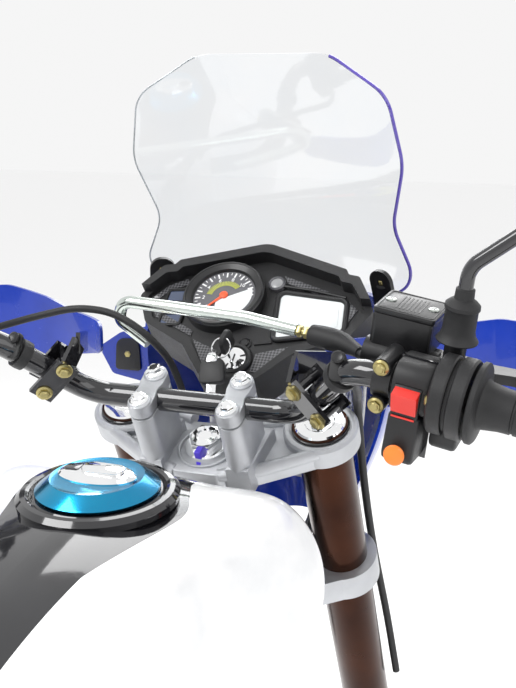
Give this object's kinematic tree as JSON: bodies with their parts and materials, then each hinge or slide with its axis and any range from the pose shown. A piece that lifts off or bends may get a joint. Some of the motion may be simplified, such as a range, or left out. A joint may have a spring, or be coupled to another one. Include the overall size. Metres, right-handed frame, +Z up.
{
  "type": "motorcycle cockpit and steering section",
  "caption": "Front steering section of an enduro motorcycle: handlebar, controls, instruments, screen, fork top and tank on the frame head.",
  "frame": {"origin": "centre of the open rear end of the frame's backbone tube", "axes": "+Y to the rear along the backbone tube, +Z up, +X to the motorcycle's left"},
  "size_m": [0.885, 0.7623, 0.841],
  "materials": {
    "frame_steel": "satin black",
    "bright_steel": "plain",
    "tank_white": "gloss white",
    "gloss_black": "gloss black",
    "chrome": "polished",
    "anodised_blue": "anodised blue",
    "cast_aluminium": "cast and bead blasted",
    "anodised_bronze": "anodised bronze",
    "bar_black": "gloss black",
    "rubber_black": "matt",
    "plastic_black": "fine texture",
    "switch_red": "red",
    "switch_orange": "orange",
    "guard_blue": "blue",
    "bracket_steel": "black",
    "carbon_trim": "woven look",
    "display": "clear window over a grey display",
    "clear_screen": "clear",
    "headlamp_lens": "clear lens",
    "zinc": "zinc plated",
    "alloy_lever": "black anodised"
  },
  "bodies": {
    "frame": {"frame_spine": "frame_steel", "bearing_cups": "bright_steel", "fuel_tank": "tank_white", "tank_cover": "gloss_black", "filler_ring": "gloss_black", "tank_rubbers": "rubber_black"},
    "fuel_cap": {"fuel_cap": "anodised_blue", "cap_key_cover": "chrome"},
    "steering": {"top_yoke": "cast_aluminium", "bottom_yoke": "cast_aluminium", "steering_stem": "bright_steel", "stem_nut": "chrome", "fork_tubes": "anodised_bronze", "fork_caps": "bright_steel", "handlebar": "bar_black", "handlebar_clamps": "cast_aluminium", "throttle_grip": "rubber_black", "left_grip": "rubber_black", "throttle_housing": "plastic_black", "right_switch_housing": "plastic_black", "kill_switch": "switch_red", "start_button": "switch_orange", "left_switch_housing": "plastic_black", "brake_master": "plastic_black", "reservoir_lid": "plastic_black", "brake_lever": "alloy_lever", "clutch_perch": "plastic_black", "clutch_lever": "alloy_lever", "mirror_stems": "bar_black", "mirror_heads": "plastic_black", "handguards": "guard_blue", "handguard_brackets": "bracket_steel", "dash_housing": "plastic_black", "dash_face": "carbon_trim", "main_display": "display", "tachometer": "plastic_black", "ignition_switch": "chrome", "ignition_keys": "plastic_black", "windscreen": "clear_screen", "screen_brackets": "plastic_black", "headlight_fairing": "guard_blue", "headlamp": "headlamp_lens", "fairing_stay": "frame_steel", "cable_guide_tube": "zinc", "throttle_cable": "rubber_black", "clutch_cable": "rubber_black", "brake_hose": "rubber_black"}
  },
  "joints": [
    {"name": "steering_turn", "type": "hinge", "parent": "frame", "child": "steering", "pos_m": [0, -0.43, 0.098], "axis": [0, 0.454, 0.891], "range_deg": [-34, 34]},
    {"name": "fuel_cap_lift", "type": "slide", "parent": "frame", "child": "fuel_cap", "axis": [0, 0.0698, 0.9976], "range_m": [0, 0.1]}
  ]
}
